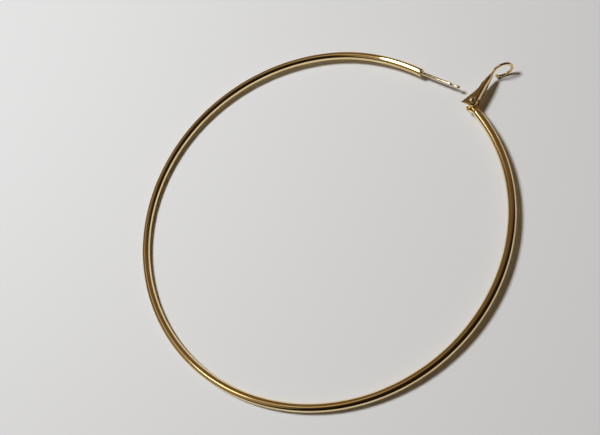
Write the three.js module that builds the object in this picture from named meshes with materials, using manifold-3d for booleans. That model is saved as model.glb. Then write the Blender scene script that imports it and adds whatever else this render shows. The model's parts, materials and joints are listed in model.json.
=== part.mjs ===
// A large hoop earring of polished gold-coloured tube, shown open, lying on a flat surface.
// The tube carries a straight ear post at one end and a hinge bracket at the other.
// A folded sheet lever, riveted to the bracket, ends in an open wire ring for the fingernail.
// Units are millimetres. The hoop is built flat around its own centre, with its gap on +X,
// and is then laid down: it touches the surface at the wire ring and at the far side of the tube.

import * as THREE from 'three';
import { mergeVertices } from 'three/addons/utils/BufferGeometryUtils.js';
import Module from 'manifold-3d';

const wasm = await Module();
wasm.setup();

// ---- Driving dimensions ----

const HOOP_OUTSIDE = 90;
const TUBE_DIAMETER = 1.9;
const GAP_ANGLE = 22.6;
const TUBE_SIDES = 16;
const TUBE_STEPS = 120;
const END_ROUNDING = 0.14;
const SPRING_IN = 0.52;
const SPRING_IN_FROM = 6;
const SPRING_IN_TO = 31;

const POST_DIAMETER = 0.75;
const POST_LENGTH = 10.5;
const POST_SPLAY = 3.6;
const GROOVE_START = 8.1;
const GROOVE_END = 9.4;
const GROOVE_RADIUS = 0.26;
const TIP_FLAT_RADIUS = 0.22;
const MOUTH_RADIUS = 0.56;
const MOUTH_DEPTH = 0.5;

const RIVET = { radius: 0.42, headRadius: 0.66, headHeight: 0.36, fromTube: 1.92, outward: 0.68 };
const RIVET_CLEARANCE = 0.08;
const BRACKET = {
  halfThickness: 0.75,
  noseRadius: 0.68,
  armHalfThickness: 0.3,
  armRadius: 0.42,
  rootInTube: 0.6,
  rootOutward: 0.1,
  armRootInTube: 0.4,
  armRootOutward: -0.3,
};
const BOSS = { radius: 0.6, halfHeight: 0.45, fromTube: 1.36, outward: -0.86 };

const LEVER_OPEN_ANGLE = 19.1;
const LEVER = {
  wall: 0.4,
  halfHeight: 1.58,
  neckHalfHeight: 0.95,
  spine: -1.07,
  earEnd: -1.33,
  earTop: 2.14,
  lowerEarTop: 1.25,
  earCorner: 0.7,
  spineStart: 0.95,
  waist: 2.7,
  waistTop: 0.27,
  waistReach: 1,
  waistFall: 0.24,
  waistRise: 0.46,
  taperStart: 3.6,
  neck: 8.4,
  troughEnd: 7.4,
};

const RING = { radius: 2.2, wire: 0.65, bend: -47.2, ahead: 10.51, aside: -2.6, beadGrowth: 0.04 };
const LEAD = { from: -0.9, to: -0.1, leaves: { ahead: 0.4, aside: -0.07, up: 0.16 } };
const RING_ENTRY_ANGLE = 160;
const RING_END_ANGLE = -129;
const RING_POINTS = 12;
const RING_STEPS = 56;
const WIRE_SIDES = 10;

// ---- Sizes that follow from them ----

const TUBE_RADIUS = TUBE_DIAMETER / 2;
const HOOP_RADIUS = (HOOP_OUTSIDE - TUBE_DIAMETER) / 2;
const HALF_GAP = THREE.MathUtils.degToRad(GAP_ANGLE / 2);
const POST_RADIUS = POST_DIAMETER / 2;
const LEVER_INSIDE = LEVER.halfHeight - LEVER.wall;
const Z_AXIS = new THREE.Vector3(0, 0, 1);

// Cutting solids run this far past the lever on every side.
const CUT_REACH = 3;
// The solid that tapers the lever's height is wider than the lever, to both sides.
const TAPER_HALF_WIDTH = 4;
// The tube's end piece is a touch thinner than the tube, so that it never stands proud of a facet.
const END_FIT = 0.995;

// ---- Helpers: solids from closed meshes, and meshes from solids ----

function solidFrom(geometry) {
  const bare = geometry.clone();
  bare.deleteAttribute('normal');
  bare.deleteAttribute('uv');
  const merged = mergeVertices(bare, 1e-5);
  const mesh = new wasm.Mesh({
    numProp: 3,
    vertProperties: new Float32Array(merged.attributes.position.array),
    triVerts: new Uint32Array(merged.index.array),
  });
  return new wasm.Manifold(mesh);
}

function geometryFrom(solid) {
  const mesh = solid.getMesh();
  const geometry = new THREE.BufferGeometry();
  geometry.setAttribute('position', new THREE.BufferAttribute(new Float32Array(mesh.vertProperties), 3));
  geometry.setIndex(new THREE.BufferAttribute(new Uint32Array(mesh.triVerts), 1));
  geometry.computeVertexNormals();
  return geometry;
}

function join(solids) {
  return solids.reduce((whole, solid) => whole.add(solid));
}

function prism(shape, bottom, top) {
  const geometry = new THREE.ExtrudeGeometry(shape, {
    depth: top - bottom,
    bevelEnabled: false,
    curveSegments: 10,
  });
  geometry.translate(0, 0, bottom);
  return solidFrom(geometry);
}

function disc(centre, radius, bottom, top, sides = 24) {
  const geometry = new THREE.CylinderGeometry(radius, radius, top - bottom, sides);
  geometry.rotateX(Math.PI / 2);
  geometry.translate(centre.x, centre.y, (top + bottom) / 2);
  return solidFrom(geometry);
}

// A flat bar with round ends, running from one centre to the other.
function link(from, to, radius, halfThickness) {
  const along = Math.atan2(to.y - from.y, to.x - from.x);
  const shape = new THREE.Shape();
  shape.absarc(to.x, to.y, radius, along - Math.PI / 2, along + Math.PI / 2, false);
  shape.absarc(from.x, from.y, radius, along + Math.PI / 2, along + 1.5 * Math.PI, false);
  return prism(shape, -halfThickness, halfThickness);
}

// A turned solid: its profile lists [radius, height] and is closed on the axis.
function turned(profile, sides = TUBE_SIDES) {
  const points = profile.map(([radius, height]) => new THREE.Vector2(radius, height));
  return new THREE.LatheGeometry(points, sides);
}

// Turns a solid's own +Y onto a direction and moves its origin to a point.
function aimed(geometry, origin, direction) {
  const turn = new THREE.Quaternion().setFromUnitVectors(new THREE.Vector3(0, 1, 0), direction);
  geometry.applyQuaternion(turn);
  geometry.translate(origin.x, origin.y, origin.z);
  return solidFrom(geometry);
}

function sweep(path, radius, sides, steps) {
  const section = new THREE.Shape();
  for (let i = 0; i < sides; i += 1) {
    const angle = (2 * Math.PI * (i + 0.5)) / sides;
    const move = i === 0 ? 'moveTo' : 'lineTo';
    section[move](radius * Math.cos(angle), radius * Math.sin(angle));
  }
  section.closePath();
  return solidFrom(new THREE.ExtrudeGeometry(section, { steps, extrudePath: path, bevelEnabled: false }));
}

// ---- The hoop's route ----

function polar(radius, angle) {
  return new THREE.Vector3(radius * Math.cos(angle), radius * Math.sin(angle), 0);
}

// The centre line runs from the post end, the long way round, to the hinge end.
// Near the post it has sprung in a little towards the hoop's centre.
class HoopLine extends THREE.Curve {
  getPoint(t, target = new THREE.Vector3()) {
    const angle = HALF_GAP + t * 2 * (Math.PI - HALF_GAP);
    const fromPost = THREE.MathUtils.radToDeg(angle - HALF_GAP);
    const sprungIn = 1 - THREE.MathUtils.smoothstep(fromPost, SPRING_IN_FROM, SPRING_IN_TO);
    return target.copy(polar(HOOP_RADIUS - SPRING_IN * sprungIn, angle));
  }
}

const hoopLine = new HoopLine();
const postEnd = hoopLine.getPoint(0);
const hingeEnd = hoopLine.getPoint(1);
const postEndDirection = hoopLine.getTangentAt(0).negate();
const hingeEndDirection = hoopLine.getTangentAt(1);
const postDirection = postEndDirection.clone().applyAxisAngle(Z_AXIS, THREE.MathUtils.degToRad(POST_SPLAY));

// A place near the hinge: so far beyond the tube's end, and so far out from the hoop's centre line.
function nearHinge(beyond, outward) {
  const outwards = hingeEnd.clone().normalize();
  return hingeEnd.clone().addScaledVector(hingeEndDirection, beyond).addScaledVector(outwards, outward);
}

const hingePoint = nearHinge(RIVET.fromTube, RIVET.outward);
const bossPoint = nearHinge(BOSS.fromTube, BOSS.outward);

// ---- The hoop: tube, ear post and hinge bracket, soldered into one ----

function tubeEnd(origin, direction) {
  const r = TUBE_RADIUS * END_FIT;
  const profile = [
    [0, -1],
    [r, -1],
    [r, 0],
    [r - END_ROUNDING * 0.3, END_ROUNDING * 0.7],
    [r - END_ROUNDING, END_ROUNDING],
    [0, END_ROUNDING],
  ];
  return aimed(turned(profile, 24), origin, direction);
}

function tubeMouth() {
  const profile = [
    [0, END_ROUNDING - MOUTH_DEPTH],
    [MOUTH_RADIUS, END_ROUNDING - MOUTH_DEPTH],
    [MOUTH_RADIUS, 1],
    [0, 1],
  ];
  return aimed(turned(profile), postEnd, postEndDirection);
}

function earPost() {
  const profile = [
    [0, -1],
    [POST_RADIUS, -1],
    [POST_RADIUS, GROOVE_START - 0.1],
    [GROOVE_RADIUS, GROOVE_START],
    [GROOVE_RADIUS, GROOVE_END],
    [POST_RADIUS, GROOVE_END + 0.12],
    [POST_RADIUS, POST_LENGTH - 0.3],
    [POST_RADIUS * 0.88, POST_LENGTH - 0.12],
    [TIP_FLAT_RADIUS, POST_LENGTH],
    [0, POST_LENGTH],
  ];
  return aimed(turned(profile), postEnd, postDirection);
}

function hingeBracket() {
  const root = nearHinge(-BRACKET.rootInTube, BRACKET.rootOutward);
  const armRoot = nearHinge(-BRACKET.armRootInTube, BRACKET.armRootOutward);
  const { halfThickness, noseRadius, armHalfThickness, armRadius } = BRACKET;
  const rivetHole = RIVET.radius + RIVET_CLEARANCE;
  const plate = join([
    link(root, hingePoint, noseRadius, halfThickness),
    link(armRoot, bossPoint, armRadius, armHalfThickness),
    link(bossPoint, hingePoint, armRadius, armHalfThickness),
    disc(bossPoint, BOSS.radius, -BOSS.halfHeight, BOSS.halfHeight),
  ]);
  return plate.subtract(disc(hingePoint, rivetHole, -CUT_REACH, CUT_REACH));
}

function hoop() {
  const tube = join([
    sweep(hoopLine, TUBE_RADIUS, TUBE_SIDES, TUBE_STEPS),
    tubeEnd(postEnd, postEndDirection),
    tubeEnd(hingeEnd, hingeEndDirection),
  ]);
  return join([tube.subtract(tubeMouth()), earPost(), hingeBracket()]);
}

// ---- The rivet, through both ears of the lever and the bracket ----

function hingeRivet() {
  const { radius, headRadius, headHeight } = RIVET;
  const underHead = LEVER.halfHeight + RIVET_CLEARANCE;
  const topHead = [
    [radius, underHead],
    [headRadius, underHead],
    [headRadius * 0.92, underHead + headHeight * 0.45],
    [headRadius * 0.6, underHead + headHeight * 0.85],
    [0, underHead + headHeight],
  ];
  const bottomHead = topHead.map(([r, height]) => [r, -height]).reverse();
  const geometry = turned([...bottomHead, ...topHead]);
  geometry.rotateX(Math.PI / 2);
  return solidFrom(geometry);
}

// ---- The lever, drawn along its own +X from the rivet ----

// Outline seen from above: an ear at the rivet, narrowing in two straight runs to the neck.
function leverOutline() {
  const { earEnd, earTop, earCorner, spine, wall, neck } = LEVER;
  const { waist, waistTop, waistReach, waistFall, waistRise } = LEVER;
  const shape = new THREE.Shape();
  shape.moveTo(earEnd, earTop);
  shape.lineTo(earEnd, spine + earCorner);
  shape.quadraticCurveTo(earEnd, spine, earEnd + earCorner, spine);
  shape.lineTo(neck, spine);
  shape.lineTo(neck, spine + wall);
  shape.lineTo(waist + waistReach, waistTop - waistFall);
  shape.quadraticCurveTo(waist, waistTop, waist - waistReach, waistTop + waistRise);
  return shape;
}

// Half height of the folded channel along its length, less an inset for the inside.
function leverSide(inset, end) {
  const high = LEVER.halfHeight - inset;
  const low = LEVER.neckHalfHeight - inset;
  const middle = (LEVER.taperStart + LEVER.neck) / 2;
  const shape = new THREE.Shape();
  shape.moveTo(-CUT_REACH, -high);
  shape.lineTo(LEVER.taperStart, -high);
  shape.bezierCurveTo(middle, -high, middle, -low, end, -low);
  shape.lineTo(end, low);
  shape.bezierCurveTo(middle, low, middle, high, LEVER.taperStart, high);
  shape.lineTo(-CUT_REACH, high);
  const depth = 2 * TAPER_HALF_WIDTH;
  const geometry = new THREE.ExtrudeGeometry(shape, { depth, bevelEnabled: false, curveSegments: 10 });
  geometry.rotateX(Math.PI / 2);
  geometry.translate(0, TAPER_HALF_WIDTH, 0);
  return geometry;
}

function boxBetween(low, high) {
  const size = new THREE.Vector3().subVectors(high, low);
  const geometry = new THREE.BoxGeometry(size.x, size.y, size.z);
  geometry.translate(...new THREE.Vector3().addVectors(low, high).multiplyScalar(0.5).toArray());
  return solidFrom(geometry);
}

function leverChannel() {
  const { wall, spine, spineStart, halfHeight, lowerEarTop, neck, troughEnd } = LEVER;
  const body = prism(leverOutline(), -halfHeight, halfHeight).intersect(solidFrom(leverSide(0, neck)));
  const far = CUT_REACH;
  const trough = boxBetween(
    new THREE.Vector3(-far, spine + wall, -far),
    new THREE.Vector3(troughEnd, far, far),
  );
  const inside = trough.intersect(solidFrom(leverSide(wall, neck)));
  const behindEars = boxBetween(
    new THREE.Vector3(-far, -far, -LEVER_INSIDE),
    new THREE.Vector3(spineStart, far, LEVER_INSIDE),
  );
  const lowerTrim = boxBetween(
    new THREE.Vector3(-far, lowerEarTop, -far),
    new THREE.Vector3(neck, far, 0),
  );
  const hole = disc(new THREE.Vector3(), RIVET.radius + RIVET_CLEARANCE, -far, far);
  return body.subtract(inside).subtract(behindEars).subtract(lowerTrim).subtract(hole);
}

// The ring stands on edge, across the hoop's plane, and is bent back from the lever's line.
function ringPoint(angle) {
  const plane = THREE.MathUtils.degToRad(RING.bend);
  const across = RING.radius * Math.cos(angle);
  return new THREE.Vector3(
    RING.ahead + across * Math.cos(plane),
    RING.aside + across * Math.sin(plane),
    RING.radius * Math.sin(angle),
  );
}

function ringLine() {
  const middle = LEVER.spine + LEVER.wall / 2;
  const points = [
    new THREE.Vector3(LEVER.neck + LEAD.from, middle, 0),
    new THREE.Vector3(LEVER.neck + LEAD.to, middle, 0),
    new THREE.Vector3(LEVER.neck + LEAD.leaves.ahead, middle + LEAD.leaves.aside, LEAD.leaves.up),
  ];
  for (let i = 0; i <= RING_POINTS; i += 1) {
    const angle = THREE.MathUtils.lerp(RING_ENTRY_ANGLE, RING_END_ANGLE, i / RING_POINTS);
    points.push(ringPoint(THREE.MathUtils.degToRad(angle)));
  }
  return new THREE.CatmullRomCurve3(points);
}

function ringBead() {
  const geometry = new THREE.SphereGeometry(RING.wire / 2 + RING.beadGrowth, WIRE_SIDES, 8);
  geometry.translate(...ringPoint(THREE.MathUtils.degToRad(RING_END_ANGLE)).toArray());
  return solidFrom(geometry);
}

function claspLever() {
  const ring = sweep(ringLine(), RING.wire / 2, WIRE_SIDES, RING_STEPS);
  return join([leverChannel(), ring, ringBead()]);
}

// ---- The scene graph ----

function node(name, solid, material) {
  const mesh = new THREE.Mesh(geometryFrom(solid), material);
  mesh.name = name;
  return mesh;
}

const gold = new THREE.MeshStandardMaterial({ color: 0xd9b96a, metalness: 1, roughness: 0.12 });
const rivetGold = new THREE.MeshStandardMaterial({ color: 0xe2c987, metalness: 1, roughness: 0.18 });
const leverGold = new THREE.MeshStandardMaterial({ color: 0xd2b060, metalness: 1, roughness: 0.2 });

const rivetGroup = new THREE.Group();
rivetGroup.position.copy(hingePoint);
rivetGroup.add(node('hinge_rivet', hingeRivet(), rivetGold));

const leverGroup = new THREE.Group();
leverGroup.position.copy(hingePoint);
leverGroup.rotation.z = THREE.MathUtils.degToRad(LEVER_OPEN_ANGLE);
leverGroup.add(node('clasp_lever', claspLever(), leverGold));

// Laid down, the hoop leans until the ring and the far side of the tube are level.
const ringCentre = new THREE.Vector3(RING.ahead, RING.aside, 0)
  .applyAxisAngle(Z_AXIS, leverGroup.rotation.z)
  .add(hingePoint);
const ringDrop = RING.radius + RING.wire / 2 - TUBE_RADIUS;
const leanAngle = Math.asin(ringDrop / (ringCentre.length() + HOOP_RADIUS));
const leanAxis = ringCentre.clone().normalize().applyAxisAngle(Z_AXIS, -Math.PI / 2);

const earring = new THREE.Group();
earring.quaternion.setFromAxisAngle(leanAxis, leanAngle);
earring.add(node('hoop', hoop(), gold), rivetGroup, leverGroup);

// The origin is the middle of the underside of the whole earring's box.
earring.updateMatrixWorld(true);
const box = new THREE.Box3().setFromObject(earring, true);
const middle = box.getCenter(new THREE.Vector3());
earring.position.set(-middle.x, -middle.y, -box.min.z);
earring.updateMatrixWorld(true);

export default earring;
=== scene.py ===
import json
import math

import bmesh
import bpy
from mathutils import Matrix, Vector


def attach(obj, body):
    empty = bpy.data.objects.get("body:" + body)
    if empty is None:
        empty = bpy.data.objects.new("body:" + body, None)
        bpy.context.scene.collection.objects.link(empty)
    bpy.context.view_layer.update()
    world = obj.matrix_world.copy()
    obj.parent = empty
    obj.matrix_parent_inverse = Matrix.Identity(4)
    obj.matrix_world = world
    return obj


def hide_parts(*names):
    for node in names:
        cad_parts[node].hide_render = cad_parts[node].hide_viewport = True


# A large hoop earring of polished, gold-plated tube, lying open on a pale surface.
#
# Its pieces are modelled in millimetres in the hoop's own flat frame: the hoop's centre is the
# origin, its gap is on +X and +Z is square to it. The lever is modelled along its own +X from
# the rivet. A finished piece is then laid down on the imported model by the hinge's place and axis.

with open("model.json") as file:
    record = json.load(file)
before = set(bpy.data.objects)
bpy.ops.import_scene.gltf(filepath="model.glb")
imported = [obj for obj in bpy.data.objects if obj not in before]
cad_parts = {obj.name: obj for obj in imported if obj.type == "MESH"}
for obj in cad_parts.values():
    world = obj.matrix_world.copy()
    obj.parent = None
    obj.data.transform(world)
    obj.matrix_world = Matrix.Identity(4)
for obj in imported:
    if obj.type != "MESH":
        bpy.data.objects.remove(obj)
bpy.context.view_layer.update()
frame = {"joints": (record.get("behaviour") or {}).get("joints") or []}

# ---- Driving dimensions, in millimetres; angles are given in degrees ----
#
# A list of rings is a turned shape, each ring (distance along, radius). The rivet's head is
# given by shares of its height and of its radius.

MM = 0.001

HOOP_OUTSIDE = 90.0
TUBE_RADIUS = 0.95
HOOP_RADIUS = HOOP_OUTSIDE / 2 - TUBE_RADIUS
HALF_GAP = math.radians(11.3)
SPRING_IN = 0.52
SPRING_IN_REACH = 25.0
TUBE_SIDES = 48
TUBE_STEPS = 300
HINGE_END_TAPER = 1.0
HINGE_END_RINGS = [(0.45, 0.9), (0.8, 0.78), (0.98, 0.64)]
POST_END_RINGS = [(0.05, 0.94), (0.1, 0.9), (0.135, 0.84), (0.14, 0.76), (0.14, 0.6), (0.1, 0.565)]

POST_RADIUS = 0.375
POST_LENGTH = 10.5
POST_SPLAY = math.radians(3.6)
GROOVE_RADIUS = 0.26
GROOVE_START = 8.1
GROOVE_END = 9.4
GROOVE_LIP = 0.012
SOCKET_RADIUS = 0.56
SOCKET_DEPTH = 0.5
SOCKET_TAPER = 0.96

RIVET_FROM_TUBE = 1.92
RIVET_OUTWARD = 0.68
RIVET_RADIUS = 0.42
RIVET_HEAD_RADIUS = 0.66
RIVET_HEAD_HEIGHT = 0.36
RIVET_HEAD_SHARES = [(0.0, 0.96), (0.12, 1.0), (0.4, 0.93), (0.68, 0.76), (0.88, 0.5), (1.0, 0.14)]
RIVET_CLEARANCE = 0.08
HOLE_RADIUS = RIVET_RADIUS + RIVET_CLEARANCE

TONGUE_RADIUS = 0.68
TONGUE_HALF_THICKNESS = 0.62
TONGUE_ROUNDING = 0.17
TONGUE_IN_TUBE = 0.6
TONGUE_OUTWARD = 0.1
ARM_RADIUS = 0.42
ARM_HALF_THICKNESS = 0.3
ARM_ROUNDING = 0.06
ARM_FROM_HOLE = 0.06
ARM_IN_TUBE = 0.4
ARM_OUTWARD = -0.3
KNUCKLE_FROM_TUBE = 1.36
KNUCKLE_OUTWARD = -0.86
KNUCKLE_SIDES = 36
KNUCKLE_RINGS = [
    (-0.45, 0.48),
    (-0.38, 0.57),
    (-0.28, 0.6),
    (0.22, 0.6),
    (0.34, 0.57),
    (0.42, 0.5),
    (0.45, 0.41),
    (0.43, 0.32),
    (0.36, 0.25),
    (0.3, 0.12),
]
KNUCKLE_CORE = 0.5

LEVER_OPEN_ANGLE = math.radians(19.1)
SHEET = 0.4
LEVER_HALF_HEIGHT = 1.58
NECK_HALF_HEIGHT = 0.95
LEVER_SPINE = -1.07
EAR_END = -1.33
EAR_TOP = 2.14
LOWER_EAR_TOP = 1.25
EAR_CORNER = 0.7
SPINE_START = 0.95
WAIST = 2.7
WAIST_REACH = 1.0
WAIST_TOP = 0.27
SLOPE_END = 0.73
NECK_SLOPE = 0.03
NICK_1 = 5.4
NICK_2 = 7.05
NICK_DEPTH = 0.14
NICK_RUN = 0.08
TAPER_START = 3.6
NECK = 8.4
NECK_TAPER = 7.5
NECK_END = 0.55
NECK_WALL = 0.1
FOLD_RADIUS = 0.45
INNER_FOLD_RADIUS = FOLD_RADIUS - SHEET + 0.08
FOLD_FROM_MIDDLE = 0.3
SPINE_CROWN = 0.2
LEVER_ROUNDING = 0.05
TROUGH_END = 7.4
TROUGH_END_SHARE = 0.55

RING_RADIUS = 2.2
WIRE_RADIUS = 0.325
RING_CENTRE = Vector((10.51, -2.6, 0.0))
RING_BEND = math.radians(-47.2)
RING_ENTRY = math.radians(150.0)
RING_END = math.radians(-129.0)
RING_STEPS = 72
BEAD_RINGS = [(0.04, 0.34), (0.14, 0.375), (0.28, 0.375), (0.4, 0.32), (0.47, 0.22), (0.5, 0.08)]
WIRE_SIDES = 28
NECK_OVERLAP = 0.35
LEAD_REACH = 1.24
# The wire's sections from the ring back to the neck: (share of the way from the neck, half width,
# half thickness).
LEAD_IN = (
    (0.85, 0.325, 0.325),
    (0.7, 0.325, 0.325),
    (0.55, 0.33, 0.32),
    (0.4, 0.34, 0.3),
    (0.2, 0.36, 0.27),
    (0.0, 0.38, 0.22),
)

UP = Vector((0.0, 0.0, 1.0))
LEVER_INSIDE = LEVER_HALF_HEIGHT - SHEET

# How closely a point has to agree with a place to be picked, in millimetres and as a share.
TOUCH = 0.01
RING_MARGIN = 1.01
# Holes are cut this far to both sides, and blocks that cut the lever start and end well clear of it.
CUT_REACH = 3.0
CUTTER_MARGIN = 1.0
CUTTER_TOP = 3.5
ROUND_SIDES = 40
SHARP_EDGE = math.radians(35.0)


# ---- Places in the hoop's flat frame ----


def polar(radius, angle):
    """A point in the flat, by its radius and its angle from +X."""
    return Vector((radius * math.cos(angle), radius * math.sin(angle), 0.0))


def direction(azimuth, elevation):
    """A unit vector, by its azimuth from +X and its elevation above the flat."""
    return polar(math.cos(elevation), azimuth) + UP * math.sin(elevation)


post_end_outwards = polar(1.0, HALF_GAP)
post_end = post_end_outwards * (HOOP_RADIUS - SPRING_IN)
post_end_direction = Vector((math.sin(HALF_GAP), -math.cos(HALF_GAP), 0.0))
post_direction = Matrix.Rotation(POST_SPLAY, 3, "Z") @ post_end_direction

hinge_end_outwards = polar(1.0, -HALF_GAP)
hinge_end = hinge_end_outwards * HOOP_RADIUS
hinge_end_direction = Vector((math.sin(HALF_GAP), math.cos(HALF_GAP), 0.0))


def near_hinge(beyond, outward):
    """A point past the tube's hinge end, and outward from the tube's middle line."""
    return hinge_end + hinge_end_direction * beyond + hinge_end_outwards * outward


rivet_point = near_hinge(RIVET_FROM_TUBE, RIVET_OUTWARD)
knuckle_point = near_hinge(KNUCKLE_FROM_TUBE, KNUCKLE_OUTWARD)

hinge = next(joint for joint in frame["joints"] if joint["name"] == "clasp_hinge")
lean = UP.rotation_difference(Vector(hinge["axis"])).to_matrix().to_4x4()
hoop_centre = Vector(hinge["pos_m"]) - lean @ (rivet_point * MM)
hoop_frame = Matrix.Translation(hoop_centre) @ lean
hoop_place = hoop_frame @ Matrix.Scale(MM, 4)
rivet_place = hoop_place @ Matrix.Translation(rivet_point)
lever_place = rivet_place @ Matrix.Rotation(LEVER_OPEN_ANGLE, 4, "Z")


# ---- Camera ----

CAMERA_DISTANCE = 163.88
CAMERA_AZIMUTH = math.radians(-98.0)
CAMERA_ELEVATION = math.radians(61.855)
CAMERA_PAN = math.radians(1.16)
CAMERA_TILT = math.radians(0.566)
CAMERA_ROLL = math.radians(36.079)
CAMERA_LENS = 42.0
CAMERA_SENSOR = 36.0
CAMERA_NEAREST = 0.01
CAMERA_FURTHEST = 20.0


def add_camera():
    """A camera that stands round the hoop's centre and faces it, then tilts, pans and rolls."""
    data = bpy.data.cameras.new("camera")
    data.lens = CAMERA_LENS
    data.sensor_width = CAMERA_SENSOR
    data.clip_start = CAMERA_NEAREST
    data.clip_end = CAMERA_FURTHEST
    camera = bpy.data.objects.new("camera", data)
    bpy.context.scene.collection.objects.link(camera)
    towards = direction(CAMERA_AZIMUTH, CAMERA_ELEVATION)
    aim = (-towards).to_track_quat("-Z", "Y").to_matrix().to_4x4()
    aim = aim @ Matrix.Rotation(CAMERA_TILT, 4, "X") @ Matrix.Rotation(CAMERA_PAN, 4, "Y")
    aim = aim @ Matrix.Rotation(-CAMERA_ROLL, 4, "Z")
    camera.matrix_world = hoop_frame @ Matrix.Translation(towards * CAMERA_DISTANCE * MM) @ aim
    bpy.context.scene.camera = camera


# ---- Working with the edit tools ----


def deselect_everything():
    """An operator acts on all that is selected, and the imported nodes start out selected."""
    bpy.ops.object.select_all(action="DESELECT")


def start_editing(name):
    """Names the primitive that was just added, settles its place, and opens it with all selected."""
    piece = bpy.context.object
    piece.name = name
    piece.data.name = name
    bpy.ops.object.transform_apply(location=True, rotation=True, scale=True)
    bpy.ops.object.mode_set(mode="EDIT")
    bpy.ops.mesh.select_all(action="SELECT")
    return piece


def pick(piece, kind, test):
    """Selects, in edit mode, only those verts, edges or faces whose middle passes the test."""
    mode = {"verts": "VERT", "edges": "EDGE", "faces": "FACE"}[kind]
    bpy.ops.mesh.select_mode(type=mode)
    bpy.ops.mesh.select_all(action="DESELECT")
    mesh = bmesh.from_edit_mesh(piece.data)
    for part in getattr(mesh, kind):
        if kind == "verts":
            middle = part.co
        else:
            middle = sum((v.co for v in part.verts), Vector()) / len(part.verts)
        if test(middle, part):
            part.select_set(True)
    mesh.select_flush_mode()
    bmesh.update_edit_mesh(piece.data)


def pick_ring(piece, centre, radius):
    """Selects the ring of points that stands round a centre."""
    pick(piece, "verts", lambda at, vert: (at - centre).length < radius * RING_MARGIN)


def start_ring(name, centre, heading, radius, sides):
    """Starts a piece as an open ring of edges, square to a heading."""
    deselect_everything()
    turn = heading.to_track_quat("Z", "Y").to_euler()
    bpy.ops.mesh.primitive_circle_add(vertices=sides, radius=radius, location=centre, rotation=turn)
    return start_editing(name)


def draw_out(centre, heading, radius, rings):
    """Extrudes the selected ring along a line: one new ring for each (distance, radius)."""
    reached = 0.0
    for distance, wide in rings:
        step = heading * (distance - reached)
        bpy.ops.mesh.extrude_region_move(TRANSFORM_OT_translate={"value": step})
        share = wide / radius
        middle = centre + heading * distance
        bpy.ops.transform.resize(value=(share, share, share), center_override=middle)
        reached, radius = distance, wide


def close_ends():
    """Fills a piece's open ends and turns all its faces outward."""
    bpy.ops.mesh.select_all(action="SELECT")
    bpy.ops.mesh.fill_holes(sides=0)
    bpy.ops.mesh.select_all(action="SELECT")
    bpy.ops.mesh.normals_make_consistent(inside=False)


def turned(name, centre, heading, rings, sides=ROUND_SIDES):
    """A turned piece: rings along a line, each (distance, radius), closed at both ends."""
    first, radius = rings[0]
    foot = centre + heading * first
    piece = start_ring(name, foot, heading, radius, sides)
    onward = [(distance - first, wide) for distance, wide in rings[1:]]
    draw_out(foot, heading, radius, onward)
    close_ends()
    bpy.ops.object.mode_set(mode="OBJECT")
    return piece


def hole_cutter(centre, radius, sides=ROUND_SIDES):
    """A pin, to be cut from a piece to leave a hole right through it."""
    return turned("hole_cutter", centre, UP, [(-CUT_REACH, radius), (CUT_REACH, radius)], sides)


def bar(name, start, end, radius, half_thickness):
    """A flat bar with round ends: a short cylinder, one half of it drawn out to the far end."""
    deselect_everything()
    way = end - start
    bpy.ops.mesh.primitive_cylinder_add(
        vertices=ROUND_SIDES,
        radius=radius,
        depth=2 * half_thickness,
        location=start,
        rotation=(0.0, 0.0, math.atan2(way.y, way.x) + math.pi / ROUND_SIDES),
    )
    piece = start_editing(name)
    pick(piece, "verts", lambda at, vert: (at - start).dot(way) > 0)
    bpy.ops.transform.translate(value=way)
    bpy.ops.object.mode_set(mode="OBJECT")
    return piece


def make_active(piece):
    """Selects one piece alone, for a modifier or an operator to work on."""
    deselect_everything()
    piece.select_set(True)
    bpy.context.view_layer.objects.active = piece


def soften(piece, width, segments=2):
    """Rounds the sharp edges of a piece."""
    make_active(piece)
    bevel = piece.modifiers.new("soften", "BEVEL")
    bevel.width = width
    bevel.segments = segments
    bevel.limit_method = "ANGLE"
    bevel.angle_limit = SHARP_EDGE
    bevel.use_clamp_overlap = True
    bpy.ops.object.modifier_apply(modifier=bevel.name)


def combine(piece, other, operation):
    """Joins another piece to this one, or cuts it from it, and removes the other."""
    make_active(piece)
    work = piece.modifiers.new("combine", "BOOLEAN")
    work.operation = operation
    work.solver = "EXACT"
    work.object = other
    bpy.ops.object.modifier_apply(modifier=work.name)
    bpy.data.objects.remove(other)


# ---- Node groups: effects that more than one finish uses ----


def new_group(name, inputs, outputs):
    """A node group with its inputs, each (name, kind, value), and its outputs, each (name, kind)."""
    group = bpy.data.node_groups.new(name, "ShaderNodeTree")
    for label, kind, value in inputs:
        socket = group.interface.new_socket(label, in_out="INPUT", socket_type=kind)
        if value is not None:
            socket.default_value = value
    for label, kind in outputs:
        group.interface.new_socket(label, in_out="OUTPUT", socket_type=kind)
    return group, group.nodes.new("NodeGroupInput"), group.nodes.new("NodeGroupOutput")


def add_node(tree, kind, **settings):
    """Adds a node. A setting that starts with in_ is an input's value, with _ for a space."""
    node = tree.nodes.new(kind)
    for key, value in settings.items():
        if key.startswith("in_"):
            node.inputs[key[3:].replace("_", " ")].default_value = value
        else:
            setattr(node, key, value)
    return node


def map_range(tree, source, low, high, to_low, to_high):
    """Spreads a value's range over a new one, whose ends are numbers or sockets."""
    node = add_node(tree, "ShaderNodeMapRange")
    for index, value in enumerate((low, high, to_low, to_high), start=1):
        if hasattr(value, "links"):
            tree.links.new(value, node.inputs[index])
        else:
            node.inputs[index].default_value = value
    tree.links.new(source, node.inputs[0])
    return node.outputs[0]


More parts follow.
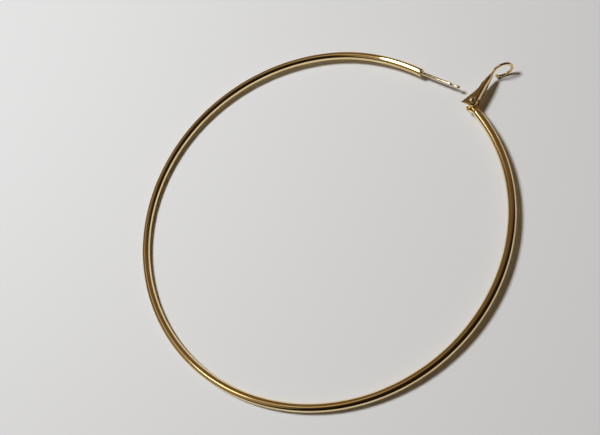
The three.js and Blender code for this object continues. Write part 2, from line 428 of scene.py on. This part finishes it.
def plating_tone():
    """Gold plate that is a little deeper or paler from place to place."""
    group, given, result = new_group(
        "plating_tone",
        [
            ("Place", "NodeSocketVector", None),
            ("Pale", "NodeSocketColor", (0.95, 0.83, 0.57, 1.0)),
            ("Deep", "NodeSocketColor", (0.88, 0.68, 0.36, 1.0)),
            ("Patch", "NodeSocketFloat", 0.12),
        ],
        [("Color", "NodeSocketColor")],
    )
    noise = add_node(group, "ShaderNodeTexNoise", in_Detail=3.0, in_Roughness=0.55)
    group.links.new(given.outputs["Place"], noise.inputs["Vector"])
    group.links.new(given.outputs["Patch"], noise.inputs["Scale"])
    share = map_range(group, noise.outputs[0], 0.35, 0.65, 0.0, 1.0)
    mix = add_node(group, "ShaderNodeMix", data_type="RGBA")
    group.links.new(share, mix.inputs["Factor"])
    group.links.new(given.outputs["Pale"], mix.inputs[6])
    group.links.new(given.outputs["Deep"], mix.inputs[7])
    group.links.new(mix.outputs[2], result.inputs["Color"])
    return group


def polish_marks():
    """Fine marks that run along Place's X: a varying roughness, and a height for a bump."""
    group, given, result = new_group(
        "polish_marks",
        [
            ("Place", "NodeSocketVector", None),
            ("Smooth", "NodeSocketFloat", 0.1),
            ("Worn", "NodeSocketFloat", 0.24),
            ("Fineness", "NodeSocketFloat", 9.0),
        ],
        [("Roughness", "NodeSocketFloat"), ("Height", "NodeSocketFloat")],
    )
    stretch = add_node(group, "ShaderNodeMapping", in_Scale=(0.06, 1.0, 1.0))
    lines = add_node(group, "ShaderNodeTexNoise", in_Detail=4.0, in_Roughness=0.6)
    smears = add_node(group, "ShaderNodeTexNoise", in_Scale=0.35, in_Detail=4.0)
    group.links.new(given.outputs["Place"], stretch.inputs["Vector"])
    group.links.new(stretch.outputs[0], lines.inputs["Vector"])
    group.links.new(given.outputs["Fineness"], lines.inputs["Scale"])
    group.links.new(given.outputs["Place"], smears.inputs["Vector"])
    both = add_node(group, "ShaderNodeMath", operation="MULTIPLY")
    group.links.new(lines.outputs[0], both.inputs[0])
    group.links.new(smears.outputs[0], both.inputs[1])
    smooth, worn = given.outputs["Smooth"], given.outputs["Worn"]
    rough = map_range(group, both.outputs[0], 0.12, 0.42, smooth, worn)
    group.links.new(rough, result.inputs["Roughness"])
    group.links.new(lines.outputs[0], result.inputs["Height"])
    return group


def forming_ripple():
    """The slight unevenness that bending or stamping leaves, as a height."""
    group, given, result = new_group(
        "forming_ripple",
        [("Place", "NodeSocketVector", None), ("Scale", "NodeSocketFloat", 0.4)],
        [("Height", "NodeSocketFloat")],
    )
    swell = add_node(group, "ShaderNodeTexNoise", in_Detail=1.5, in_Roughness=0.4)
    group.links.new(given.outputs["Place"], swell.inputs["Vector"])
    group.links.new(given.outputs["Scale"], swell.inputs["Scale"])
    group.links.new(swell.outputs[0], result.inputs["Height"])
    return group


def round_the_hoop():
    """Turns a place on the hoop, in millimetres from its centre, into (way round, outward, up)."""
    group, given, result = new_group(
        "round_the_hoop",
        [("Place", "NodeSocketVector", None)],
        [("Place", "NodeSocketVector")],
    )
    parts = add_node(group, "ShaderNodeSeparateXYZ")
    group.links.new(given.outputs["Place"], parts.inputs[0])
    angle = add_node(group, "ShaderNodeMath", operation="ARCTAN2")
    group.links.new(parts.outputs[1], angle.inputs[0])
    group.links.new(parts.outputs[0], angle.inputs[1])
    way = add_node(group, "ShaderNodeMath", operation="MULTIPLY")
    way.inputs[1].default_value = HOOP_RADIUS
    group.links.new(angle.outputs[0], way.inputs[0])
    flat = add_node(group, "ShaderNodeVectorMath", operation="MULTIPLY")
    flat.inputs[1].default_value = (1.0, 1.0, 0.0)
    group.links.new(given.outputs["Place"], flat.inputs[0])
    length = add_node(group, "ShaderNodeVectorMath", operation="LENGTH")
    group.links.new(flat.outputs[0], length.inputs[0])
    outward = add_node(group, "ShaderNodeMath", operation="SUBTRACT")
    outward.inputs[1].default_value = HOOP_RADIUS
    group.links.new(length.outputs["Value"], outward.inputs[0])
    joined = add_node(group, "ShaderNodeCombineXYZ")
    group.links.new(way.outputs[0], joined.inputs[0])
    group.links.new(outward.outputs[0], joined.inputs[1])
    group.links.new(parts.outputs[2], joined.inputs[2])
    group.links.new(joined.outputs[0], result.inputs["Place"])
    return group


PLATING_TONE = plating_tone()
POLISH_MARKS = polish_marks()
FORMING_RIPPLE = forming_ripple()
ROUND_THE_HOOP = round_the_hoop()

MICRON = 1e-6


# ---- Finishes ----


def place_in_millimetres(tree, place):
    """Object coordinates turned back into a piece's own frame, in millimetres."""
    coordinates = add_node(tree, "ShaderNodeTexCoord")
    mapping = add_node(tree, "ShaderNodeMapping", vector_type="TEXTURE")
    location, rotation, scale = place.decompose()
    mapping.inputs["Location"].default_value = location
    mapping.inputs["Rotation"].default_value = rotation.to_euler()
    mapping.inputs["Scale"].default_value = scale
    tree.links.new(coordinates.outputs["Object"], mapping.inputs["Vector"])
    return mapping.outputs["Vector"]


def gold(name, place, round_hoop, smooth, worn, fineness, marks, ripple, ripple_scale, pale, deep):
    """Polished gold plate. marks and ripple are the heights, in microns, of its two kinds of bump."""
    material = bpy.data.materials.new(name)
    material.use_nodes = True
    tree = material.node_tree
    shader = tree.nodes["Principled BSDF"]
    shader.inputs["Metallic"].default_value = 1.0
    at = place_in_millimetres(tree, place)
    if round_hoop:
        unrolled = add_node(tree, "ShaderNodeGroup", node_tree=ROUND_THE_HOOP)
        tree.links.new(at, unrolled.inputs["Place"])
        at = unrolled.outputs["Place"]

    tone = add_node(tree, "ShaderNodeGroup", node_tree=PLATING_TONE, in_Pale=pale, in_Deep=deep)
    polish = add_node(tree, "ShaderNodeGroup", node_tree=POLISH_MARKS)
    polish.inputs["Smooth"].default_value = smooth
    polish.inputs["Worn"].default_value = worn
    polish.inputs["Fineness"].default_value = fineness
    swell = add_node(tree, "ShaderNodeGroup", node_tree=FORMING_RIPPLE, in_Scale=ripple_scale)
    for node in (tone, polish, swell):
        tree.links.new(at, node.inputs["Place"])
    tree.links.new(tone.outputs["Color"], shader.inputs["Base Color"])
    tree.links.new(polish.outputs["Roughness"], shader.inputs["Roughness"])

    wide_bump = add_node(tree, "ShaderNodeBump", in_Strength=1.0, in_Distance=ripple * MICRON)
    fine_bump = add_node(tree, "ShaderNodeBump", in_Strength=1.0, in_Distance=marks * MICRON)
    tree.links.new(swell.outputs["Height"], wide_bump.inputs["Height"])
    tree.links.new(polish.outputs["Height"], fine_bump.inputs["Height"])
    tree.links.new(wide_bump.outputs["Normal"], fine_bump.inputs["Normal"])
    tree.links.new(fine_bump.outputs["Normal"], shader.inputs["Normal"])
    return material


PALE_GOLD = (0.95, 0.78, 0.44, 1.0)
DEEP_GOLD = (0.9, 0.66, 0.32, 1.0)

tube_gold = gold(
    "polished_tube_gold",
    place=hoop_place,
    round_hoop=True,
    smooth=0.035,
    worn=0.1,
    fineness=6.0,
    marks=0.3,
    ripple=5.0,
    ripple_scale=0.35,
    pale=PALE_GOLD,
    deep=DEEP_GOLD,
)
wire_gold = gold(
    "drawn_wire_gold",
    place=hoop_place @ Matrix.Translation(post_end) @ Matrix.Rotation(POST_SPLAY - math.pi / 2, 4, "Z"),
    round_hoop=False,
    smooth=0.12,
    worn=0.28,
    fineness=12.0,
    marks=1.5,
    ripple=4.0,
    ripple_scale=0.8,
    pale=(0.93, 0.84, 0.62, 1.0),
    deep=(0.86, 0.72, 0.46, 1.0),
)
sheet_gold = gold(
    "stamped_sheet_gold",
    place=lever_place,
    round_hoop=False,
    smooth=0.1,
    worn=0.3,
    fineness=8.0,
    marks=1.4,
    ripple=10.0,
    ripple_scale=0.7,
    pale=PALE_GOLD,
    deep=(0.86, 0.62, 0.3, 1.0),
)
rivet_gold = gold(
    "domed_rivet_gold",
    place=rivet_place,
    round_hoop=False,
    smooth=0.08,
    worn=0.2,
    fineness=10.0,
    marks=1.0,
    ripple=6.0,
    ripple_scale=1.2,
    pale=(0.96, 0.86, 0.62, 1.0),
    deep=(0.9, 0.74, 0.44, 1.0),
)


def hand_over(piece, place, material, body, node, smooth_below=40.0):
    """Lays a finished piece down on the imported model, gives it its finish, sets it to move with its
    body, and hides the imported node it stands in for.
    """
    make_active(piece)
    piece.matrix_world = place
    bpy.ops.object.transform_apply(location=True, rotation=True, scale=True)
    bpy.ops.object.shade_smooth_by_angle(angle=math.radians(smooth_below))
    piece.data.materials.clear()
    piece.data.materials.append(material)
    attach(piece, body)
    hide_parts(node)


# ---- The hoop's tube ----


def hoop_tube():
    """A ring spun round the hoop's centre, sprung in at the post end, with both ends formed."""
    taper_angle = HINGE_END_TAPER / HOOP_RADIUS
    start = polar(HOOP_RADIUS, HALF_GAP)
    tube = start_ring("hoop_tube", start, post_end_direction, TUBE_RADIUS, TUBE_SIDES)
    bpy.ops.mesh.spin(
        steps=TUBE_STEPS,
        angle=-(2 * math.pi - 2 * HALF_GAP - taper_angle),
        center=(0.0, 0.0, 0.0),
        axis=(0.0, 0.0, 1.0),
    )
    taper_start = polar(HOOP_RADIUS, -HALF_GAP - taper_angle)
    onward = Matrix.Rotation(-taper_angle, 3, "Z") @ hinge_end_direction
    pick_ring(tube, taper_start, TUBE_RADIUS)
    draw_out(taper_start, onward, TUBE_RADIUS, HINGE_END_RINGS)

    pick_ring(tube, start, TUBE_RADIUS)
    bpy.ops.transform.translate(
        value=post_end_outwards * -SPRING_IN,
        use_proportional_edit=True,
        use_proportional_connected=True,
        proportional_edit_falloff="SMOOTH",
        proportional_size=SPRING_IN_REACH,
    )
    pick_ring(tube, post_end, TUBE_RADIUS)
    socket = [(0.0, SOCKET_RADIUS), (-SOCKET_DEPTH, SOCKET_RADIUS * SOCKET_TAPER)]
    draw_out(post_end, post_end_direction, TUBE_RADIUS, POST_END_RINGS + socket)
    close_ends()
    bpy.ops.object.mode_set(mode="OBJECT")
    hand_over(tube, hoop_place, tube_gold, "hoop", "hoop")


# ---- The ear post ----


def ear_post():
    """Turned wire: a flared foot in the socket, a lip before its snap groove, and a rounded tip."""
    rings = [
        (-SOCKET_DEPTH - 0.05, POST_RADIUS + 0.05),
        (-SOCKET_DEPTH + 0.12, POST_RADIUS + 0.03),
        (-SOCKET_DEPTH + 0.2, POST_RADIUS),
        (GROOVE_START - 0.3, POST_RADIUS),
        (GROOVE_START - 0.22, POST_RADIUS + GROOVE_LIP),
        (GROOVE_START - 0.08, POST_RADIUS + GROOVE_LIP),
        (GROOVE_START - 0.02, POST_RADIUS - 0.02),
        (GROOVE_START + 0.06, GROOVE_RADIUS + 0.02),
        (GROOVE_START + 0.14, GROOVE_RADIUS),
        (GROOVE_END - 0.14, GROOVE_RADIUS),
        (GROOVE_END - 0.04, GROOVE_RADIUS + 0.03),
        (GROOVE_END + 0.06, POST_RADIUS - 0.02),
        (GROOVE_END + 0.14, POST_RADIUS),
        (POST_LENGTH - 0.34, POST_RADIUS),
        (POST_LENGTH - 0.2, POST_RADIUS * 0.96),
        (POST_LENGTH - 0.08, POST_RADIUS * 0.82),
        (POST_LENGTH, POST_RADIUS * 0.58),
    ]
    post = turned("ear_post", post_end, post_direction, rings)
    hand_over(post, hoop_place, wire_gold, "hoop", "hoop")


# ---- The hinge bracket ----


def hinge_bracket():
    """A tongue from the tube's end to the rivet, and a dished knuckle beside it on two thin arms."""
    root = near_hinge(-TONGUE_IN_TUBE, TONGUE_OUTWARD)
    bracket = bar("hinge_bracket", root, rivet_point, TONGUE_RADIUS, TONGUE_HALF_THICKNESS)
    soften(bracket, TONGUE_ROUNDING, segments=4)
    combine(bracket, hole_cutter(rivet_point, HOLE_RADIUS), "DIFFERENCE")

    knuckle = turned("knuckle", knuckle_point, UP, KNUCKLE_RINGS, KNUCKLE_SIDES)
    side_root = near_hinge(-ARM_IN_TUBE, ARM_OUTWARD)
    below_hole = rivet_point - hinge_end_outwards * (HOLE_RADIUS + ARM_FROM_HOLE)
    for start in (side_root, below_hole):
        arm = bar("arm", start, knuckle_point, ARM_RADIUS, ARM_HALF_THICKNESS)
        combine(arm, hole_cutter(rivet_point, HOLE_RADIUS), "DIFFERENCE")
        soften(arm, ARM_ROUNDING)
        combine(arm, hole_cutter(knuckle_point, KNUCKLE_CORE, KNUCKLE_SIDES), "DIFFERENCE")
        combine(knuckle, arm, "UNION")
    combine(bracket, knuckle, "UNION")
    hand_over(bracket, hoop_place, sheet_gold, "hoop", "hoop")


# ---- The rivet ----


def rivet():
    """A pin with a domed head at each end, just past the lever's two ears."""
    under = LEVER_HALF_HEIGHT + RIVET_CLEARANCE
    head = [(under, RIVET_RADIUS)]
    for height, width in RIVET_HEAD_SHARES:
        head.append((under + RIVET_HEAD_HEIGHT * height, RIVET_HEAD_RADIUS * width))
    rings = [(-height, radius) for height, radius in reversed(head)] + head
    pin = turned("rivet", Vector(), UP, rings)
    hand_over(pin, rivet_place, rivet_gold, "hoop", "hinge_rivet", smooth_below=50.0)


# ---- The snap lever ----

# Where the sheet, and the trough inside it, are cut across to be shaped.
LEVER_STATIONS = (
    (EAR_END, 1.7, 2.0, 2.35, WAIST, 3.05, 3.4, 3.7, 4.3, 4.9, NICK_1, NICK_1 + NICK_RUN, 6.2)
    + (NICK_2, NICK_2 + NICK_RUN, NECK_TAPER, 7.75, 8.0, 8.2, NECK)
)
TROUGH_STATIONS = (EAR_END - CUTTER_MARGIN, 3.7, 4.3, 4.9, 5.5, 6.2, 6.8, 7.1, TROUGH_END)


def blend(low, high, share):
    """A value between two others, by its share of the way, never past either."""
    share = min(1.0, max(0.0, share))
    return low + (high - low) * share


def mouth_edge(x):
    """How far the walls of the folded sheet reach: a straight slope, a waist, a lower slope."""
    neck_edge = LEVER_SPINE + FOLD_RADIUS + NECK_WALL
    slope_ends = WAIST - WAIST_REACH
    waist_ends = WAIST + WAIST_REACH
    if x < slope_ends:
        return blend(EAR_TOP, SLOPE_END, (x - EAR_END) / (slope_ends - EAR_END))
    if x < waist_ends:
        share = (x - slope_ends) / (2 * WAIST_REACH)
        return blend(blend(SLOPE_END, WAIST_TOP, share), blend(WAIST_TOP, NECK_SLOPE, share), share)
    edge = blend(NECK_SLOPE, neck_edge, (x - waist_ends) / (NECK - waist_ends))
    lifted = blend(0.0, NICK_DEPTH, (x - waist_ends) / (NICK_1 - waist_ends))
    nicks = (x > NICK_1 + NICK_RUN / 2) + (x > NICK_2 + NICK_RUN / 2)
    return max(edge + lifted - NICK_DEPTH * nicks, neck_edge)


def half_height(x):
    """Half the lever's height along its length: easing down to the neck, which closes at its end."""
    share = blend(0.0, 1.0, (x - TAPER_START) / (NECK - TAPER_START))
    eased = share * share * (3 - 2 * share)
    height = LEVER_HALF_HEIGHT + (NECK_HALF_HEIGHT - LEVER_HALF_HEIGHT) * eased
    closing = blend(0.0, 1.0, (x - NECK_TAPER) / (NECK - NECK_TAPER))
    return blend(height, NECK_END, closing * closing)


def trough_half_height(x):
    """Half the height between the lever's walls, drawn in where the trough ends."""
    inside = half_height(x) - SHEET
    return inside * (1.0 if x < TROUGH_END else TROUGH_END_SHARE)


def shaped_block(name, stations, bottom, top, half):
    """A block along the lever, cut across at each station and brought there to its size."""
    deselect_everything()
    start, end = stations[0], stations[-1]
    # It starts one millimetre deep and one to each side, so a station's sizes are its scales too.
    middle = ((start + end) / 2, bottom + 0.5, 0.0)
    bpy.ops.mesh.primitive_cube_add(size=1.0, location=middle, scale=(end - start, 1.0, 2.0))
    block = start_editing(name)
    for x in stations[1:-1]:
        bpy.ops.mesh.select_all(action="SELECT")
        bpy.ops.mesh.bisect(plane_co=(x, 0.0, 0.0), plane_no=(1.0, 0.0, 0.0))
    for x in stations:
        pick(block, "verts", lambda at, vert: abs(at.x - x) < TOUCH)
        bpy.ops.transform.resize(
            value=(1.0, top(x) - bottom, half(x)), center_override=(x, bottom, 0.0)
        )
    return block


def is_fold(at, edge):
    """Is this edge where a wall of the lever turns into its spine, or round its ear's corner?"""
    round_corner = at.x < EAR_END + EAR_CORNER
    low = at.y < LEVER_SPINE + (EAR_CORNER if round_corner else TOUCH)
    runs_along = abs(edge.verts[0].co.x - edge.verts[1].co.x) > TOUCH / 2
    return low and runs_along and abs(at.z) > FOLD_FROM_MIDDLE


def is_spine_ridge(at):
    """Is this point on the line along the middle of the lever's spine?"""
    return abs(at.z) < TOUCH and at.y < 0.0


def folded_sheet():
    """A block drawn to the lever's outline, its folds rounded, hollowed out to leave thin walls."""
    sheet = shaped_block("snap_lever", LEVER_STATIONS, LEVER_SPINE, mouth_edge, half_height)
    pick(sheet, "edges", lambda at, edge: at.x < EAR_END + TOUCH and at.y < LEVER_SPINE + TOUCH)
    bpy.ops.mesh.bevel(offset=EAR_CORNER, segments=8, affect="EDGES")
    bpy.ops.mesh.select_all(action="SELECT")
    bpy.ops.mesh.bisect(plane_co=(0.0, 0.0, 0.0), plane_no=(0.0, 0.0, 1.0))
    # The spine's crown goes out in two steps, which end one after the other towards the neck.
    for limit in (NECK, NECK_TAPER):
        pick(sheet, "verts", lambda at, vert: is_spine_ridge(at) and at.x < limit - TOUCH)
        bpy.ops.transform.translate(value=(0.0, -SPINE_CROWN / 2, 0.0))
    pick(sheet, "edges", is_fold)
    bpy.ops.mesh.bevel(offset=FOLD_RADIUS, segments=7, affect="EDGES")
    bpy.ops.object.mode_set(mode="OBJECT")

    bed = LEVER_SPINE + SHEET
    trough = shaped_block("trough", TROUGH_STATIONS, bed, lambda x: CUTTER_TOP, trough_half_height)
    pick(trough, "edges", lambda at, edge: at.y < bed + TOUCH and abs(at.z) > FOLD_FROM_MIDDLE)
    bpy.ops.mesh.bevel(offset=INNER_FOLD_RADIUS, segments=3, affect="EDGES")
    bpy.ops.object.mode_set(mode="OBJECT")
    combine(sheet, trough, "DIFFERENCE")

    # Between the ears the spine is cut away, and the lower ear is cut shorter than the upper one.
    ears = (EAR_END - CUTTER_MARGIN, SPINE_START)
    below = LEVER_SPINE - CUTTER_MARGIN
    between = shaped_block("notch", ears, below, lambda x: 0.0, lambda x: LEVER_INSIDE)
    bpy.ops.object.mode_set(mode="OBJECT")
    combine(sheet, between, "DIFFERENCE")

    spare = shaped_block("spare", ears, LOWER_EAR_TOP, lambda x: CUTTER_TOP, lambda x: LEVER_INSIDE)
    bpy.ops.mesh.select_all(action="SELECT")
    bpy.ops.transform.translate(value=(0.0, 0.0, -LEVER_INSIDE))
    bpy.ops.object.mode_set(mode="OBJECT")
    combine(sheet, spare, "DIFFERENCE")

    combine(sheet, hole_cutter(Vector(), HOLE_RADIUS), "DIFFERENCE")
    return sheet


ring_level = polar(1.0, RING_BEND)


def ring_place(angle):
    """The wire's middle at an angle round the ring, which stands on edge."""
    return RING_CENTRE + (ring_level * math.cos(angle) + UP * math.sin(angle)) * RING_RADIUS


def ring_heading(angle):
    """The way the wire runs at an angle, towards its free end."""
    return ring_level * math.sin(angle) - UP * math.cos(angle)


def add_section(centre, heading, half_width, half_thickness):
    """Adds an oval ring of edges for the wire, wide upright and thin across the lever's spine."""
    turn = heading.to_track_quat("Z", "Y").to_euler()
    bpy.ops.mesh.select_all(action="DESELECT")
    bpy.ops.mesh.primitive_circle_add(
        vertices=WIRE_SIDES, radius=half_width, location=centre, rotation=turn
    )
    thin = half_thickness / half_width
    bpy.ops.transform.resize(value=(1.0, thin, 1.0), center_override=centre)


def wire_ring():
    """Wire spun round the ring's centre, with a beaded end, led back and flattened into the neck."""
    entry, end = ring_place(RING_ENTRY), ring_place(RING_END)
    start_heading = ring_heading(RING_ENTRY)
    wire = start_ring("wire_ring", entry, start_heading, WIRE_RADIUS, WIRE_SIDES)
    ring_axis = ring_level.cross(UP)
    bpy.ops.mesh.spin(
        steps=RING_STEPS, angle=RING_ENTRY - RING_END, center=RING_CENTRE, axis=ring_axis
    )
    pick_ring(wire, end, WIRE_RADIUS)
    draw_out(end, ring_heading(RING_END), WIRE_RADIUS, BEAD_RINGS)
    bpy.ops.mesh.edge_face_add()

    neck = Vector((NECK - NECK_OVERLAP, LEVER_SPINE + SHEET / 2, 0.0))
    bend = entry - start_heading * LEAD_REACH
    for share, half_width, half_thickness in LEAD_IN:
        centre = neck.lerp(bend, share).lerp(bend.lerp(entry, share), share)
        heading = (bend - neck).lerp(entry - bend, share).normalized()
        add_section(centre, heading, half_width, half_thickness)
        pick(wire, "edges", lambda at, edge: len(edge.link_faces) < 2)
        bpy.ops.mesh.bridge_edge_loops()
    close_ends()
    bpy.ops.object.mode_set(mode="OBJECT")
    return wire


def snap_lever():
    """The folded sheet and its wire ring, made one and lightly rounded all over."""
    lever = folded_sheet()
    combine(lever, wire_ring(), "UNION")
    soften(lever, LEVER_ROUNDING)
    hand_over(
        lever, lever_place, sheet_gold, "lever", "clasp_lever", smooth_below=35.0
    )


# ---- Floor, lights and surroundings ----
#
# Lengths in this part are in metres.

FLOOR_SIZE = 4.0
FLOOR_GREY = (0.815, 0.805, 0.8, 1.0)

KEY = direction(math.radians(114.0), math.radians(64.0))
STRIP = direction(math.radians(70.0), math.radians(35.0))
SHINE = direction(math.radians(113.0), math.radians(67.0))
SHINE_FROM_END = 4.5 * MM
SHINE_SPREAD = math.radians(62.0)

# The room is a dim ramp from its floor to its ceiling, with a dark front and round patches.
ROOM_FLOOR = (0.05, 0.031, 0.019, 1.0)
ROOM_WALL = (0.16, 0.102, 0.062, 1.0)
ROOM_WALL_HEIGHT = 0.45
ROOM_CEILING = (0.12, 0.077, 0.045, 1.0)
ROOM_CEILING_HEIGHT = 0.8
ROOM_FRONT = (0.011, 0.008, 0.006, 1.0)
BEHIND = direction(math.radians(82.0), 0.0)
BEHIND_REACH = math.radians(105.0)
BEHIND_CORE = math.radians(82.0)
KEY_GLOW = (0.6, 0.5, 0.34, 1.0)
KEY_GLOW_REACH = math.radians(16.0)
KEY_GLOW_CORE = math.radians(4.0)
OPENING = direction(math.radians(165.0), math.radians(38.0))
OPENING_GLOW = (0.3, 0.25, 0.18, 1.0)
OPENING_REACH = math.radians(26.0)
OPENING_CORE = OPENING_REACH * 0.6
LAMP = direction(math.radians(131.0), math.radians(62.0))
LAMP_GLOW = (6.0, 5.6, 4.9, 1.0)
LAMP_REACH = math.radians(4.8)
LAMP_CORE = LAMP_REACH * 0.5


def add_floor():
    """A plain, pale, matt surface."""
    deselect_everything()
    bpy.ops.mesh.primitive_plane_add(size=FLOOR_SIZE, location=(0.0, 0.0, 0.0))
    floor = bpy.context.object
    floor.name = "floor"
    material = bpy.data.materials.new("pale_floor")
    material.use_nodes = True
    shader = material.node_tree.nodes["Principled BSDF"]
    shader.inputs["Base Color"].default_value = FLOOR_GREY
    shader.inputs["Roughness"].default_value = 0.9
    shader.inputs["Specular IOR Level"].default_value = 0.1
    floor.data.materials.append(material)


def add_soft_box(name, towards, distance, size, power, colour, around):
    """A soft box that stands round a point of the hoop and faces it."""
    data = bpy.data.lights.new(name, "AREA")
    data.shape = "RECTANGLE"
    data.size, data.size_y = size
    data.energy = power
    data.color = colour
    box = bpy.data.objects.new(name, data)
    bpy.context.scene.collection.objects.link(box)
    box.location = around + towards * distance
    box.rotation_euler = (-towards).to_track_quat("-Z", "Y").to_euler()
    return box


def add_lights():
    """A key light that the gold doesn't mirror, a faint strip, and a shine over the post's end."""
    key = add_soft_box(
        "key_soft_box",
        towards=KEY,
        distance=0.5,
        size=(0.12, 0.12),
        power=2.04,
        colour=(0.92, 0.965, 1.0),
        around=hoop_centre,
    )
    key.visible_glossy = False
    add_soft_box(
        "ceiling_strip",
        towards=STRIP,
        distance=1.0,
        size=(1.2, 0.03),
        power=0.014,
        colour=(1.0, 0.9, 0.74),
        around=hoop_centre,
    )
    shone = post_end * MM - post_end_direction * SHINE_FROM_END
    shine = add_soft_box(
        "post_end_shine",
        towards=SHINE,
        distance=0.035,
        size=(0.038, 0.011),
        power=0.0022,
        colour=(1.0, 0.97, 0.88),
        around=hoop_centre + lean @ shone,
    )
    shine.data.spread = SHINE_SPREAD
    shine.visible_diffuse = False


def lobe(tree, ray, towards, reach, core):
    """How far a ray lies inside a round patch of the room: 1 in its core, 0 beyond its reach."""
    along = add_node(tree, "ShaderNodeVectorMath", operation="DOT_PRODUCT")
    along.inputs[1].default_value = towards
    tree.links.new(ray, along.inputs[0])
    return map_range(tree, along.outputs["Value"], math.cos(reach), math.cos(core), 0.0, 1.0)


def mix_colour(tree, share, low, high):
    """Goes from one colour to another by a share. Each is a colour or a socket."""
    mix = add_node(tree, "ShaderNodeMix", data_type="RGBA")
    tree.links.new(share, mix.inputs["Factor"])
    for index, colour in ((6, low), (7, high)):
        if hasattr(colour, "links"):
            tree.links.new(colour, mix.inputs[index])
        else:
            mix.inputs[index].default_value = colour
    return mix.outputs[2]


def add_surroundings():
    """A dim, warm room with a dark front, a pale patch round the key and one to the left, and a lamp."""
    world = bpy.data.worlds.new("room")
    bpy.context.scene.world = world
    world.use_nodes = True
    tree = world.node_tree
    ray = add_node(tree, "ShaderNodeTexCoord").outputs["Generated"]
    parts = add_node(tree, "ShaderNodeSeparateXYZ")
    ramp = add_node(tree, "ShaderNodeValToRGB")
    tree.links.new(ray, parts.inputs[0])
    tree.links.new(parts.outputs[2], ramp.inputs[0])
    low, high = ramp.color_ramp.elements
    low.position, low.color = 0.0, ROOM_FLOOR
    high.position, high.color = ROOM_CEILING_HEIGHT, ROOM_CEILING
    ramp.color_ramp.elements.new(ROOM_WALL_HEIGHT).color = ROOM_WALL

    behind = lobe(tree, ray, BEHIND, BEHIND_REACH, BEHIND_CORE)
    room = mix_colour(tree, behind, ROOM_FRONT, ramp.outputs[0])
    for towards, reach, core, glow in (
        (KEY, KEY_GLOW_REACH, KEY_GLOW_CORE, KEY_GLOW),
        (OPENING, OPENING_REACH, OPENING_CORE, OPENING_GLOW),
        (LAMP, LAMP_REACH, LAMP_CORE, LAMP_GLOW),
    ):
        room = mix_colour(tree, lobe(tree, ray, towards, reach, core), room, glow)
    tree.links.new(room, tree.nodes["Background"].inputs["Color"])


def set_tone():
    """Colours are shown as they are, with no film look."""
    view = bpy.context.scene.view_settings
    view.view_transform = "Standard"
    view.look = "None"


add_camera()
hoop_tube()
ear_post()
hinge_bracket()
rivet()
snap_lever()
add_floor()
add_lights()
add_surroundings()
set_tone()
